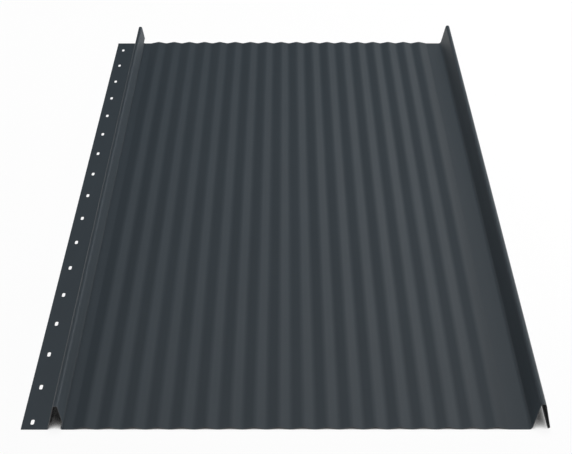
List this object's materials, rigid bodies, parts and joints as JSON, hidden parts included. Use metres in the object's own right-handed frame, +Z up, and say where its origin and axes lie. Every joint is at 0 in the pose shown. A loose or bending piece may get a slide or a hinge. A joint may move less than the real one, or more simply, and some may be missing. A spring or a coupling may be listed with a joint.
{
  "type": "corrugated standing seam roof sheet",
  "caption": "Coated steel roof sheet with a finely corrugated pan, a slotted nail flange and male seam along one edge, and a female seam that clips over the next sheet along the other.",
  "frame": {"origin": "on the underside, below the middle of the full width and of the length", "axes": "+X across the sheet from the nail flange to the female seam, +Y along the sheet, +Z up"},
  "size_m": [0.5186, 1, 0.03],
  "materials": {
    "coated_steel": "matt graphite grey coil coating"
  },
  "bodies": {
    "root": {"roof_sheet": "coated_steel"}
  },
  "joints": []
}
